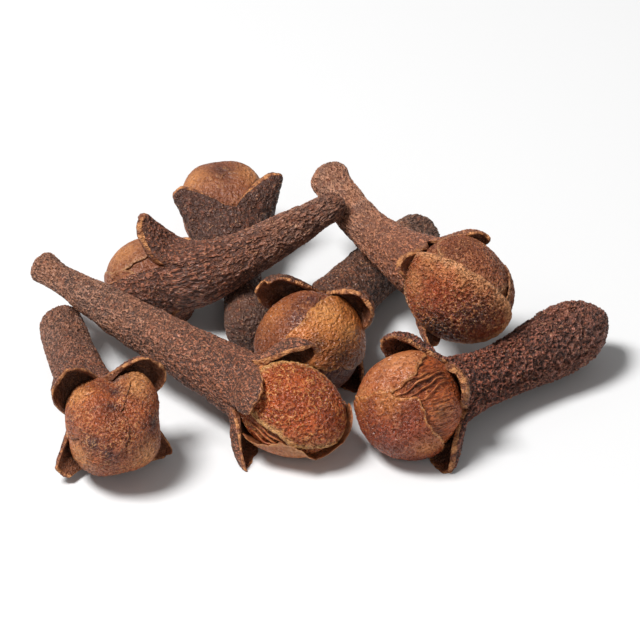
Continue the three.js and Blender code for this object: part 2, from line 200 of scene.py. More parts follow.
CLOVES = [
    Clove(
        "clove_front_left", tail=(2.6, 11.3, 1.25), middle=(3.5, 7.2, 1.45), neck=(4.75, 3.2, 2.05),
        stem=(1.0, 1.1, 1.15, 1.2, 1.5), bud=Bud(2.15, 4.8, 2.1, 2.0, 0.14, 0.07), look="speckled",
        wrinkle=(0.2, 0.045, 1.3), bark=(134, 92, 73), flat=0.9, grainy=("bud", "petal_1"),
        teeth=((0, 3, 114, -132, 0.82, 0.12), (-8, 3, 116, -130, 0.8, 0.12),
               (-12, 2.7, 70, -42, 0.6, 0.12), (6, 2.7, 62, -45, 0.7, 0.12)),
        creases=(((33, 116), (62, 44), 10, 0.42),),
        bulges=((8, 94, 27, 0.32), (142, 62, 24, 0.12)),
        # The first three stains follow the crease and darken it: painted shade in the crease.
        stains=((31, 103, 12), (45, 76, 11), (59, 52, 10), (341, 42, 13), (127, 44, 12), (150, 28, 9)),
        glows=((14, 92, 17), (20, 74, 13), (154, 70, 18), (268, 33, 20), (86, 91, 13)),
        petals=(
            Petal("speckled", 75, 50, 0.0, 0.0, 0.05, 0.05, ((0, 50), (30, 62), (60, 56), (90, 42),
                   (120, 28), (150, 18), (185, 32), (215, 70), (250, 76), (300, 64), (325, 74), (345, 66))),
        ),
    ),
    Clove(
        "clove_front_long", tail=(1.6, 12.85, 3.15), middle=(6.3, 8.4, 2.85), neck=(11.1, 4.5, 2.35),
        stem=(0.76, 0.62, 0.8, 0.94, 1.05, 1.15, 1.25, 1.36, 1.5), bud=Bud(1.95, 5.0, 2.6), look="veined",
        wrinkle=(0.19, 0.04, 1.3), bark=(146, 103, 82), cap=0.45, grainy=("petal_1",),
        teeth=((12, 3.2, 84, -104, 0.98, 0.24), (16, 2.6, 60, -60, 0.9, 0.1),
               (0, 3.1, 70, -50, 0.75, 0.12), (0, 2.4, 55, -40, 0.8, 0.12)),
        glows=((150, 50, 20), (225, 62, 40)),
        # These dark spots are painted shade in the torn opening under the strands.
        hollows=((138, 104, 11), (140, 84, 11), (150, 64, 10)),
        petals=(
            Petal("veined", 73, 60, 0.02, 0.06, 0.03, 0.4, ((0, 52), (20, 57), (48, 62), (72, 68),
                   (96, 80), (134, 78), (160, 74), (208, 66), (257, 64), (300, 72), (323, 70), (340, 58))),
            Petal("flap", 215, 60, 0.0, 0.32, 0.045, 0.16, ((20, 80), (54, 80), (62, 60), (68, 47),
                   (97, 42), (112, 32), (124, 28), (135, 40), (151, 58), (166, 66), (198, 68), (212, 76),
                   (260, 80), (320, 80))),
        ),
        strands=(
            (0.05, ((134, 106, 0.04), (140, 86, 0.13), (150, 62, 0.04))),
            (0.04, ((128, 98, 0.02), (136, 80, 0.1), (147, 58, 0.03))),
            (0.045, ((146, 104, 0.06), (149, 86, 0.17), (154, 70, 0.08))),
        ),
    ),
    Clove(
        "clove_front_right", tail=(27.5, 10.3, 2.1), middle=(23.8, 7.4, 1.65), neck=(20.5, 4.6, 1.95),
        stem=(1.1, 1.55, 1.78, 1.74, 1.6, 1.46, 1.36, 1.36, 1.5), bud=Bud(2.25, 4.5, 2.6, 2.1),
        look="fibrous", wrinkle=(0.29, 0.1, 1.2), bark=(132, 84, 69), contrast=1.1, cap=1.7, flat=0.85,
        notch=0.3,
        teeth=((0, 1.6, 48, 15, 1.1, 0.4), (0, 3.4, 84, -100, 0.9, 0.14), (0, 2.6, 55, -40, 0.9, 0.12),
               (0, 3.1, 62, -28, 0.9, 0.26)),
        creases=(((30, 48), (10, 78), 7, 0.22),),
        # This stain darkens the torn opening among the strands: painted shade there.
        stains=((15, 70, 12),),
        # Some of these light spots are painted highlight on the glossy dome and on the lower petal.
        glows=((60, 76, 26), (110, 28, 14), (20, 30, 15), (292, 72, 16), (335, 84, 14)),
        # These dark spots are painted shade in the torn opening under the strands.
        hollows=((14, 60, 9), (14, 84, 10), (14, 104, 10)),
        petals=(
            Petal("glossy", 90, 60, 0.0, 0.03, 0.04, 0.2, ((0, 45), (30, 45), (90, 50), (120, 50),
                   (146, 52), (161, 56), (172, 60), (186, 58), (206, 60), (245, 60), (280, 58), (330, 50))),
            Petal("ochre", 280, 35, 0.02, 0.1, 0.05, 0.16, ((0, 54), (13, 58), (30, 57), (41, 58),
                   (51, 55), (79, 58), (116, 74), (160, 76), (200, 76), (240, 72), (280, 60), (320, 48),
                   (342, 46))),
        ),
        strands=(
            (0.045, ((14, 42, 0.06), (16, 62, 0.1), (18, 84, 0.11), (19, 110, 0.05))),
            (0.035, ((4, 48, 0.06), (7, 66, 0.09), (11, 86, 0.1), (14, 108, 0.05))),
            (0.03, ((354, 54, 0.06), (358, 70, 0.08), (4, 88, 0.09), (8, 106, 0.04))),
            (0.03, ((28, 58, 0.07), (24, 72, 0.11), (22, 90, 0.1), (22, 106, 0.05))),
        ),
    ),
    Clove(
        "clove_back_left", tail=(15.6, 15.4, 5.0), middle=(11.1, 13.1, 3.5), neck=(8.6, 12.8, 2.6),
        stem=(0.6, 0.82, 1.0, 1.22, 1.58), bud=Bud(1.72, 4.2, 2.1), look="plain",
        wrinkle=(0.22, 0.055, 1.7), bark=(140, 97, 78), contrast=0.8, roll=0, cap=0.5, notch=0.15,
        teeth=((15, 3.1, 38, -35, 0.9, 0.14), (-4, 2.2, 76, -12, 0.5, 0.5), (0, 2, 42, -15, 0.8, 0.12),
               (0, 2.5, 55, -10, 0.8, 0.12)),
        glows=((75, 68, 25),),
        petals=(
            Petal("plain", 80, 60, 0.0, 0.03, 0.03, 0.14, ((0, 30), (60, 45), (120, 50), (180, 40),
                   (240, 50), (300, 55), (330, 40))),
            Petal("plain", 5, 60, 0.05, 0.05, 0.03, 0.12, ((0, 30), (60, 40), (120, 50), (180, 55),
                   (240, 60), (300, 55), (330, 42))),
        ),
    ),
    Clove(
        "clove_back_leaning", tail=(11.3, 9.8, 1.0), middle=(11.1, 13.0, 1.2), neck=(10.55, 16.5, 1.65),
        stem=(1.05, 1.1, 1.0, 1.0, 1.75), bud=Bud(2.06, 4.6, 2.75, 2.0, 0.13, 0.04), look="plain",
        # This clove's bark is set darker than the others' for the shade it lies in at the back of the heap:
        # painted shade.
        wrinkle=(0.22, 0.04, 1.3), bark=(108, 76, 62), contrast=0.42, notch=0.7,
        teeth=((-8, 2.5, 44, -10, 0.5, 0.4), (8, 2.75, 44, -8, 0.45, 0.45), (0, 2.6, 45, -20, 0.8, 0.12),
               (0, 2.6, 45, -20, 0.8, 0.12)),
        stains=((45, 75, 18), (45, 30, 18)),
        glows=((3, 80, 20), (85, 82, 20)),
    ),
    Clove(
        "clove_back_right", tail=(14.8, 18.9, 4.2), middle=(16.8, 14.7, 3.85), neck=(19.4, 11.1, 4.1),
        stem=(0.9, 0.88, 0.92, 1.15, 1.5), bud=Bud(2.1, 4.8, 2.5, 2.1), look="reddish",
        wrinkle=(0.22, 0.045, 1.5), bark=(176, 126, 100), contrast=0.65, cap=0.5,
        grainy=("petal_1", "petal_2"),
        teeth=((0, 2.7, 62, -72, 0.6, 0.14), (12, 1.4, 75, 20, 0.7, 0.28), (0, 3.2, 52, -30, 0.6, 0.12),
               (0, 2.4, 52, -30, 0.8, 0.12)),
        bulges=((345, 65, 38, -0.28), (150, 65, 38, 0.2)),
        stains=((135, 35, 24), (150, 70, 22)),
        glows=((86, 97, 13), (86, 76, 13), (84, 57, 13), (80, 34, 13), (59, 9, 15), (112, 108, 15)),
        petals=(
            Petal("granular", 119, 57, 0.13, 0.16, 0.02, 0.5, ((0, 62), (30, 66), (57, 74), (68, 76),
                   (81, 70), (98, 58), (110, 52), (134, 42), (161, 38), (201, 46), (226, 64), (242, 82),
                   (285, 74), (330, 66))),
            Petal("reddish", 30, 60, 0.0, 0.03, 0.03, 0.25, ((0, 55), (60, 48), (110, 42), (128, 48),
                   (160, 50), (200, 50), (240, 50), (300, 60))),
            Petal("reddish", 290, 40, 0.0, 0.12, 0.02, 0.35, ((0, 45), (60, 34), (120, 40), (180, 40),
                   (240, 45), (300, 45))),
        ),
    ),
    Clove(
        "clove_middle", tail=(19.5, 18.4, 1.12), middle=(16.6, 14.0, 1.5), neck=(14.9, 10.5, 1.75),
        stem=(1.2, 1.3, 1.35, 1.4, 1.6), bud=Bud(2.3, 5.0, 2.5, 2.1), look="orange",
        wrinkle=(0.24, 0.045, 1.3), bark=(120, 86, 69), contrast=0.8,
        teeth=((0, 2.8, 106, -104, 0.8, 0.28), (0, 3.2, 100, -112, 0.85, 0.12),
               (0, 2.6, 48, -25, 0.9, 0.12), (0, 3.2, 62, -48, 0.8, 0.12)),
        stains=((43, 91, 11), (48, 62, 10), (336, 58, 20), (305, 76, 24), (310, 45, 24), (4, 44, 12)),
        glows=((22, 80, 20), (352, 84, 14), (86, 72, 20)),
        petals=(
            Petal("orange", 80, 60, 0.0, 0.0, 0.02, 0.1, ((0, 50), (60, 60), (120, 60), (180, 50),
                   (240, 60), (300, 50))),
            Petal("golden", 0, 67, 0.06, 0.03, 0.05, 0.14, ((0, 38), (20, 37), (32, 42), (41, 51),
                   (60, 56), (90, 50), (116, 41), (152, 37), (180, 50), (205, 65), (240, 62), (282, 62),
                   (310, 46), (335, 41))),
        ),
    ),
]

# ---- How the skins of buds and petals look ----
# The colours of pits, of the main skin, of its raised lines, of light patches, partly paler skin and partly
# painted highlight, of an edge and of stains and painted shade; how strongly the pits, the raised lines and
# the flecks show; the grain's size, depth and lengthwise stretch, which makes a skin fibrous; the depth of
# the lumps; the roughness.

Look = namedtuple("Look", "low mid high glow edge stain pits net specks grain lumps rough")
LOOKS = {
    "speckled": Look(
        (96, 44, 28), (198, 96, 44), (236, 166, 106), (255, 170, 100), (150, 94, 62), (58, 36, 42),
        0.6, 0.65, 0.7, (0.21, 0.045, 1), 0.14, 0.34),
    "veined": Look(
        (126, 46, 20), (214, 98, 42), (244, 172, 100), (194, 104, 50), (250, 190, 118), (80, 40, 28),
        0.6, 0.95, 0.4, (0.26, 0.06, 1), 0.08, 0.32),
    "flap": Look(
        (150, 74, 38), (236, 140, 80), (220, 160, 104), (214, 142, 84), (222, 158, 100), (90, 50, 32),
        0.3, 0.3, 0.4, (0.3, 0.03, 1), 0.08, 0.4),
    "glossy": Look(
        (116, 50, 24), (204, 110, 62), (232, 172, 120), (232, 148, 92), (214, 142, 82), (110, 56, 34),
        0.5, 0.3, 0.35, (0.3, 0.03, 1), 0.09, 0.24),
    "golden": Look(
        (142, 66, 32), (236, 138, 68), (232, 160, 92), (255, 172, 98), (214, 144, 80), (60, 32, 24),
        0.3, 0.5, 0.2, (0.3, 0.035, 1), 0.12, 0.34),
    "ochre": Look(
        (116, 48, 24), (176, 76, 38), (208, 136, 86), (236, 144, 76), (240, 158, 88), (90, 44, 28),
        0.45, 0.45, 0.2, (0.28, 0.05, 1), 0.09, 0.26),
    "plain": Look(
        (128, 68, 42), (166, 94, 56), (206, 144, 92), (226, 148, 86), (210, 154, 106), (92, 56, 46),
        0.4, 0.4, 0.2, (0.32, 0.03, 1), 0.05, 0.5),
    "granular": Look(
        (104, 44, 24), (190, 84, 42), (230, 152, 92), (250, 158, 98), (255, 180, 124), (84, 46, 36),
        0.4, 0.8, 0.8, (0.24, 0.09, 1), 0.08, 0.36),
    "reddish": Look(
        (104, 48, 28), (172, 92, 52), (226, 150, 96), (200, 125, 73), (224, 156, 104), (90, 50, 40),
        0.6, 0.6, 0.4, (0.22, 0.06, 1), 0.06, 0.45),
    "orange": Look(
        (105, 48, 29), (160, 86, 50), (222, 146, 92), (212, 124, 62), (186, 118, 74), (96, 52, 50),
        0.5, 0.5, 0.3, (0.24, 0.035, 1), 0.08, 0.34),
    "fibrous": Look(
        (122, 50, 20), (232, 110, 44), (240, 154, 90), (206, 124, 70), (190, 118, 70), (66, 30, 16),
        0.7, 0.6, 0.2, (0.14, 0.05, 7), 0.08, 0.45),
}

# ---- Small mathematics ----


def unit(vectors):
    return vectors / np.linalg.norm(vectors, axis=-1, keepdims=True)


def lerp(a, b, t):
    return a + (b - a) * t


def smoothstep(value, low, high):
    t = np.clip((value - low) / (high - low), 0, 1)
    return t * t * (3 - 2 * t)


def through(values, share):
    """A curve through evenly spaced values, at shares 0 to 1 of its length."""
    values = np.asarray(values, float)
    at = np.clip(share, 0, 1) * (len(values) - 1)
    i = np.minimum(np.floor(at).astype(int), len(values) - 2)
    t = at - i
    a, b, c, d = (values[np.clip(i + k, 0, len(values) - 1)] for k in (-1, 0, 1, 2))
    return b + 0.5 * t * (c - a + t * (2 * a - 5 * b + 4 * c - d + t * (3 * (b - c) + d - a)))


def waves(points, count, finest, random):
    """Smooth random waves over points, about -1 to 1, with at most finest turns over a unit of length."""
    total = np.zeros(points.shape[:-1])
    for _ in range(count):
        heading = unit(random.normal(size=points.shape[-1]))
        heading = heading * random.uniform(SLOWEST_WAVE, 1) * finest * 2 * math.pi
        total += np.cos(points @ heading + random.uniform(0, 2 * math.pi))
    return total * math.sqrt(2 / count) * WAVE_HEIGHT


def random_for(clove, part):
    """Random numbers that are the same each time for one part of one clove."""
    return np.random.default_rng(100 * CLOVES.index(clove) + part)


def direction_of(turn, tilt):
    turn, tilt = np.radians(turn), np.radians(tilt)
    return np.stack([np.sin(tilt) * np.cos(turn), np.sin(tilt) * np.sin(turn), np.cos(tilt)], axis=-1)


def angle_of(cosine):
    return np.degrees(np.arccos(np.clip(cosine, -1, 1)))


def circle_at(angle):
    return np.stack([np.cos(angle), np.sin(angle)], axis=-1)


def round_axis(radius, angle, height):
    return np.stack([radius * np.cos(angle), radius * np.sin(angle), height], axis=-1)


def fading(distance, reach):
    return np.exp(-((distance / reach) ** 2))


def nearness(directions, turn, tilt, width):
    """1 in the direction of turn and tilt, fading away over width in degrees."""
    return fading(angle_of(directions @ direction_of(turn, tilt)), width)


class Pose:
    """Where a clove lies. Its axis follows the stem's centre line, and runs straight on above the neck."""

    def __init__(self, clove):
        tail, middle, neck = (np.array(p) - HEAP_CENTRE for p in (clove.tail, clove.middle, clove.neck))
        control = 2 * middle - (tail + neck) / 2
        t = np.linspace(0, 1, LINE_POINTS)[:, None]
        self.line = (1 - t) ** 2 * tail + 2 * t * (1 - t) * control + t * t * neck
        self.run = np.concatenate([[0], np.cumsum(np.linalg.norm(np.diff(self.line, axis=0), axis=1))])
        self.length = self.run[-1]
        tangent = unit((1 - t) * (control - tail) + t * (neck - control))
        self.axis = tangent[-1]
        level = unit(np.cross([0, 0, 1], self.axis))
        roll = math.radians(clove.roll)
        side = level * math.cos(roll) + np.cross(self.axis, level) * math.sin(roll)
        self.sides = self.turned(side, tangent)
        self.tops = self.turned(np.cross(self.axis, side), tangent)

    def turned(self, vector, tangent):
        """A vector turned by the least turn that takes the axis to each tangent."""
        pivot = np.cross(self.axis, tangent)
        once = np.cross(pivot, vector)
        return vector + once + np.cross(pivot, once) / (1 + tangent @ self.axis)[:, None]

    def place(self, local):
        """Points given as sideways, upwards and along the axis from the neck, in the heap."""
        along = local[..., 2]
        at = np.clip(along + self.length, 0, self.length)

        def read(table):
            return np.stack([np.interp(at, self.run, table[:, k]) for k in range(3)], axis=-1)

        centre = read(self.line) + np.maximum(along, 0)[..., None] * self.axis
        return centre + read(self.sides) * local[..., :1] + read(self.tops) * local[..., 1:2]


# ---- Meshes ----


def make_mesh(name, points, faces, attributes, edges=()):
    """A smooth mesh of points in millimetres, with one value or vector for each point in each attribute."""
    mesh = bpy.data.meshes.new(name)
    mesh.from_pydata((points * MM).tolist(), edges, [tuple(f) for f in faces])
    for key, values in attributes.items():
        kind, field = ("FLOAT_VECTOR", "vector") if values.ndim == 2 else ("FLOAT", "value")
        mesh.attributes.new(key, kind, "POINT").data.foreach_set(field, values.astype(np.float32).ravel())
    mesh.shade_smooth()
    return mesh


def grain_of(local, random, pattern):
    """Where each point lies in the noise: in millimetres, and in sizes of the skin's own pattern."""
    size, _, stretch = pattern
    placed = local + random.uniform(-NOISE_BLOCK, NOISE_BLOCK, 3)
    return dict(grain=placed, wrinkle=placed / np.array((size, size, size * stretch)))


def tube_faces(rows, columns):
    """Faces of a closed skin whose rows run round it, between a first and a last point. Its points are the
    first one, the rows and the last one, and a row turns anticlockwise as seen from the last one."""
    faces = []
    last = 1 + rows * columns
    for c in range(columns):
        d = (c + 1) % columns
        faces.append((0, 1 + d, 1 + c))
        faces.append((last, last - columns + c, last - columns + d))
        for r in range(rows - 1):
            low, high = 1 + r * columns, 1 + (r + 1) * columns
            faces.append((low + c, low + d, high + d, high + c))
    return faces


def along_tooth(tooth, rim_radius, reach, width):
    """Distance from the axis, height over the neck and lean at points on the outside of a tooth."""
    _, length, spread, curl, _, _ = tooth
    held = 1 - TOOTH_HOLLOW * width**2
    radius, height = np.full_like(reach, rim_radius), np.zeros_like(reach)

    def lean_at(done):
        opened = smoothstep(done, 0, ROOT_LENGTH)
        bent = lerp(ROOT_SPREAD, spread, opened) + curl * (done / length) ** CURL_POWER
        return np.radians(bent * held)

    for step in range(TOOTH_STEPS):
        lean = lean_at(reach * (step + 0.5) / TOOTH_STEPS)
        radius = radius + np.sin(lean) * reach / TOOTH_STEPS
        height = height + np.cos(lean) * reach / TOOTH_STEPS
    return radius, height, lean_at(reach)


def stem_skin(clove, pose, random):
    """The stem with its cup and teeth, from the stem's end over the teeth to the cup's floor."""
    quarters = np.repeat(np.arange(TEETH), TOOTH_COLUMNS)
    t = np.tile(np.linspace(-1, 1, TOOTH_COLUMNS, endpoint=False), TEETH)
    offset = SECTOR / 2 * lerp(t, np.sin(math.pi / 2 * t), SIDE_CROWDING)
    angle = np.radians(quarters * SECTOR + offset)
    circle = circle_at(angle)
    rim_radius = clove.stem[-1]

    # The stem: rings from its rounded end to the cup's rim.
    bend = np.radians(90 * np.arange(1, CAP_ROWS) / CAP_ROWS)
    ring_count = round((pose.length - clove.cap) / STEM_ROW)
    from_end = np.concatenate([clove.cap * (1 - np.cos(bend)),
                               np.linspace(clove.cap, pose.length, ring_count)])
    share = from_end / pose.length
    ring = through(clove.stem, share) * np.concatenate([np.sin(bend), np.ones(ring_count)])
    flat = lerp(clove.flat, 1, smoothstep(share, ROUND_FROM, 1))
    stem = np.empty((len(ring), len(angle), 3))
    stem[..., 0] = ring[:, None] * circle[:, 0]
    stem[..., 1] = (ring * flat)[:, None] * circle[:, 1]
    stem[..., 2] = (from_end - pose.length)[:, None]

    # The outline of the teeth, with frayed edges.
    turn, length, _, _, tip, edge = np.array(clove.teeth, float)[quarters].T
    half = SECTOR / 2 + np.where(offset > turn, -turn, turn)
    width = np.clip((offset - turn) / half, -1, 1)
    tall = (1 - np.abs(width) ** TOOTH_BLUNTNESS) ** TOOTH_FULLNESS
    frays = sum(waves(circle * rim_radius, 14, finest, random) * depth for finest, depth in FRAYS)
    frays = frays * np.clip(THIN_EDGE / edge, LEAST_FRAY, 1)
    reach = lerp(clove.notch, length * (1 + frays), tall)

    # The teeth: up their outside, over the rounded rim and down their inside.
    def by_row(outside, rim, inside):
        return np.concatenate([np.broadcast_to(outside, TOOTH_ROWS - 1), rim,
                               np.broadcast_to(inside, INNER_ROWS)])

    half_turn = np.linspace(0, math.pi, RIM_ROWS)
    across = by_row(0.0, (1 - np.cos(half_turn)) / 2, 1.0)[:, None]
    over = by_row(0.0, np.sin(half_turn), 0.0)[:, None]
    up = by_row(np.arange(1, TOOTH_ROWS) / TOOTH_ROWS, np.ones(RIM_ROWS),
                1 - np.arange(1, INNER_ROWS + 1) / INNER_ROWS)[:, None] * reach
    radius, height, lean = np.empty_like(up), np.empty_like(up), np.empty_like(up)
    for k, tooth in enumerate(clove.teeth):
        own = quarters == k
        radius[:, own], height[:, own], lean[:, own] = along_tooth(
            tooth, rim_radius, up[:, own], width[own])
    spread_out = np.sqrt(rim_radius / radius) * lerp(1, tip, smoothstep(up / length, 0, 1))
    turned = np.radians(quarters * SECTOR + turn + (offset - turn) * spread_out)
    from_rim = reach - up
    thickness = TOOTH_THICKNESS * (1 - TOOTH_THINNING * up / length)
    thickness = lerp(edge, thickness, smoothstep(from_rim + EDGE_LIP, 0, TOOTH_EDGING + EDGE_LIP))
    thickness = thickness * (1 + TOOTH_LUMPS * waves(round_axis(radius, turned, height), 12, 1.2, random))
    radius = radius - np.cos(lean) * thickness * across + np.sin(lean) * over * thickness * RIM_ROUNDNESS
    height = height + np.sin(lean) * thickness * across + np.cos(lean) * over * thickness * RIM_ROUNDNESS
    cup = round_axis(radius, turned, height)

    rings = np.concatenate([stem, cup])
    local = np.concatenate([[[0, 0, -pose.length]], rings.reshape(-1, 3), [[0, 0, CUP_FLOOR]]])

    def spread(stem_value, cup_values):
        """One value for each point of the skin. The cup's floor has 1."""
        low = np.broadcast_to(stem_value, stem.shape[:2])
        high = np.broadcast_to(cup_values, cup.shape[:2])
        return np.concatenate([low[0, :1], low.ravel(), high.ravel(), [1]])

    inner = (across > 0.99) * 1.0  # the last row of the rim and all below it
    rim = np.exp(-from_rim / np.where(inner, TORN_INSIDE, TORN_OUTSIDE))
    torn = smoothstep(reach, *LOW_RIM) * lerp(1, 0.9, smoothstep(edge, *THICK_EDGE))
    attributes = dict(
        **grain_of(local, random, clove.wrinkle),
        rim=spread(0.0, rim * torn),
        inner=spread(0.0, inner),
        warm=spread(0.0, np.exp(-from_rim / WARM_REACH) * inner),
        cup=spread(smoothstep(share, *CUP_COLOUR)[:, None], 1.0),
        keep=spread(1.0, 1 - RELIEF_LOST * np.maximum(rim, inner)),
    )
    return local, tube_faces(len(rings), len(angle)), attributes


def ball(faces):
    """Directions and four-sided faces of a ball that is blown up from a cube."""
    steps = np.tan(np.linspace(-math.pi / 4, math.pi / 4, faces + 1))
    a, b = (g.ravel() for g in np.meshgrid(steps, steps, indexing="ij"))
    one = np.ones_like(a)
    sides = [(one, a, b), (-one, b, a), (b, one, a), (a, -one, b), (a, b, one), (b, a, -one)]
    points = unit(np.concatenate([np.stack(s, axis=-1) for s in sides]))
    i, j = (g.ravel() for g in np.meshgrid(np.arange(faces), np.arange(faces), indexing="ij"))
    first = i * (faces + 1) + j
    quad = np.stack([first, first + faces + 1, first + faces + 2, first + 1], axis=-1)
    quads = np.concatenate([quad + k * (faces + 1) ** 2 for k in range(6)])
    _, keep, same = np.unique(np.round(points, 6), axis=0, return_index=True, return_inverse=True)
    return points[keep], same.ravel()[quads]


def on_bud(clove, directions, lift):
    """The bud's own surface in directions from its middle, raised by lift."""
    bud = clove.bud
    size = np.sum(np.abs(directions) ** bud.square, axis=-1) ** (1 / bud.square)
    raised = lift + bud.lumps * waves(directions, 9, 0.55, random_for(clove, LUMPS))
    turn = np.arctan2(directions[..., 1], directions[..., 0])
    raised = raised + bud.corners * np.cos(TEETH * turn) * (1 - directions[..., 2] ** 2)
    for *place, height in clove.bulges:
        raised = raised + height * nearness(directions, *place)
    for start, end, width, depth in clove.creases:
        start, end = direction_of(*start), direction_of(*end)
        t = np.clip((directions - start) @ (end - start) / np.dot(end - start, end - start), 0, 1)
        nearest = unit(start + t[..., None] * (end - start))
        away = angle_of(np.sum(directions * nearest, axis=-1))
        raised = raised - depth * (1 - CREASE_FADING * t) * fading(away, width)
    rounded = directions / size[..., None]
    across = bud.radius + raised
    along = bud.lift + rounded[..., 2] * (bud.length / 2 + raised)
    return np.stack([rounded[..., 0] * across, rounded[..., 1] * across, along], axis=-1)


def spots_on(spots, directions):
    """How much of a colour lies on the bud in each direction, 0 to 1, from a list of round spots."""
    most = np.zeros(directions.shape[:-1])
    for spot in spots:
        most = np.maximum(most, nearness(directions, *spot))
    return most


def bud_ball(clove, random):
    directions, quads = BALL
    local = on_bud(clove, directions, 0.0)
    attributes = dict(
        **grain_of(local, random, LOOKS[clove.look].grain),
        # Real stains together with painted shade: the hollows, and the stains along a crease or in a torn
        # opening.
        stain=spots_on((*clove.stains, *clove.hollows), directions),
        # Light spots, partly paler skin and partly painted highlight.
        glow=spots_on(clove.glows, directions),
        edge=np.zeros(len(local)),
        keep=np.ones(len(local)),
    )
    return local, quads, attributes


def edge_table(petal, random):
    """A petal's half width in degrees at each angle round its middle, softened and frayed."""
    around = np.arange(EDGE_STEPS) * 360 / EDGE_STEPS
    edge = np.interp(around, *zip(*sorted(petal.edge)), period=360)
    soft = np.hanning(EDGE_SOFTENING) / np.hanning(EDGE_SOFTENING).sum()
    half = EDGE_SOFTENING // 2
    edge = np.convolve(np.concatenate([edge[-half:], edge, edge[:half]]), soft, mode="valid")
    ring = circle_at(np.radians(around))
    frays = waves(ring, 12, 1.6, random) + 0.5 * waves(ring, 12, 6.0, random)
    return around, edge * (1 + petal.ragged * frays)


def petal_shell(clove, petal, random):
    """A thin shell that hugs the bud round the petal's own middle and may stand off it towards its edge. It
    is a ball pressed flat: one half is its outside and the other its inside."""
    ball_points, quads = PETAL_BALL
    off_middle = angle_of(ball_points[:, 2])
    around = np.degrees(np.arctan2(ball_points[:, 1], ball_points[:, 0]))
    edge = np.interp(around, *edge_table(petal, random), period=360)
    share = 1 - np.abs(1 - off_middle / 90)
    share = 1 - (1 - share) ** PETAL_CROWDING
    within = smoothstep(off_middle, 85, 95)  # 0 on its outside and 1 on its inside

    out = direction_of(petal.turn, petal.tilt)
    sideways = direction_of(petal.turn + 90, 90)
    up = np.cross(out, sideways)
    angle = np.radians(around)[:, None]
    heading = np.cos(angle) * sideways + np.sin(angle) * up
    away = np.radians(share * edge)[:, None]
    directions = np.cos(away) * out + np.sin(away) * heading
    flare = petal.flare * share**3 * (1 + FLARE_WAVES * waves(directions, 10, 1.4, random))
    thickness = lerp(PETAL_THICKNESS, PETAL_EDGE, smoothstep(share, PETAL_THIN_FROM, 1))
    local = on_bud(clove, directions, petal.lift + PETAL_HEIGHT + flare - thickness * within)

    left = np.radians((1 - share) * edge) * clove.bud.radius
    attributes = dict(
        **grain_of(local, random, LOOKS[petal.look].grain),
        # The petal's inside is darkened: painted shade under the petal.
        stain=np.maximum(spots_on(clove.stains, directions), INSIDE_SHADE * within),
        # Light spots on the outside, partly paler skin and partly painted highlight.
        glow=spots_on(clove.glows, directions) * (1 - within),
        edge=fading(left, petal.margin) * (1 - within),
        keep=(1 - EDGE_SMOOTHNESS * np.exp(-left / EDGE_FADING)) * (1 - within),
    )
    return local, quads, attributes


def strand_lines(clove, random):
    """The middle lines of a clove's strands: points, the pairs that are joined, and each point's radius."""
    points, pairs, radii = [], [], []
    share = np.linspace(0, 1, STRAND_STEPS)
    for radius, path in clove.strands:
        turns, tilts, lifts = np.array(path, float).T
        turns = np.degrees(np.unwrap(np.radians(turns)))
        shake = waves(share[:, None] * 6, 8, 0.5, random) * STRAND_SHAKE
        directions = direction_of(through(turns, share) + shake, through(tilts, share))
        first = len(points) * STRAND_STEPS
        raised = unit(directions) * through(lifts, share)[:, None]
        points.append(on_bud(clove, directions, 0.0) + raised)
        pairs += [(first + k, first + k + 1) for k in range(STRAND_STEPS - 1)]
        radii.append(radius * (STRAND_TIP + (1 - STRAND_TIP) * np.sin(math.pi * share)))
    return np.concatenate(points), pairs, np.concatenate(radii)


BALL = ball(BUD_FACES)
PETAL_BALL = ball(PETAL_FACES)

# ---- Node trees ----


class Nodes:
    """Short ways to add and join the nodes of one tree."""

    def __init__(self, tree):
        self.tree = tree

    def put(self, value, socket):
        """Links an output to a socket, or sets the socket's own value."""
        if isinstance(value, bpy.types.NodeSocket):
            self.tree.links.new(value, socket)
        else:
            socket.default_value = value

    def fill(self, node, values):
        """The same for several of a node's inputs, by name."""
        for name, value in values.items():
            self.put(value, node.inputs[name])

    def add(self, kind, *values, out=0, **settings):
        """A new node. values go to its inputs in order. Settings are its own fields, and one that starts
        with a capital is an input by that name. The chosen output comes back."""
        node = self.tree.nodes.new(kind)
        named = {k.replace("_", " "): v for k, v in settings.items() if k[0].isupper()}
        for key, value in settings.items():
            if not key[0].isupper():
                setattr(node, key, value)
        live = [s for s in node.inputs if s.enabled and not s.is_unavailable]
        for socket, value in zip(live, values):
            self.put(value, socket)
        for name, value in named.items():
            self.put(value, next(s for s in live if s.name == name))
        shown = [s for s in node.outputs if s.enabled and not s.is_unavailable]
        return shown[out] if isinstance(out, int) else next(s for s in shown if s.name == out)

    def math(self, operation, *values):
        return self.add("ShaderNodeMath", *values, operation=operation)

    def times(self, product, *factors):
        for factor in factors:
            product = self.math("MULTIPLY", product, factor)
        return product

    def vector(self, operation, *values):
        return self.add("ShaderNodeVectorMath", *values, operation=operation)

    def scale(self, vector, factor):
        return self.add("ShaderNodeVectorMath", vector, operation="SCALE", Scale=factor)

    def ramp(self, value, low, high):
        """A smooth step of value, from 0 at low to 1 at high."""
        return self.add("ShaderNodeMapRange", value, low, high, 0.0, 1.0, interpolation_type="SMOOTHSTEP")


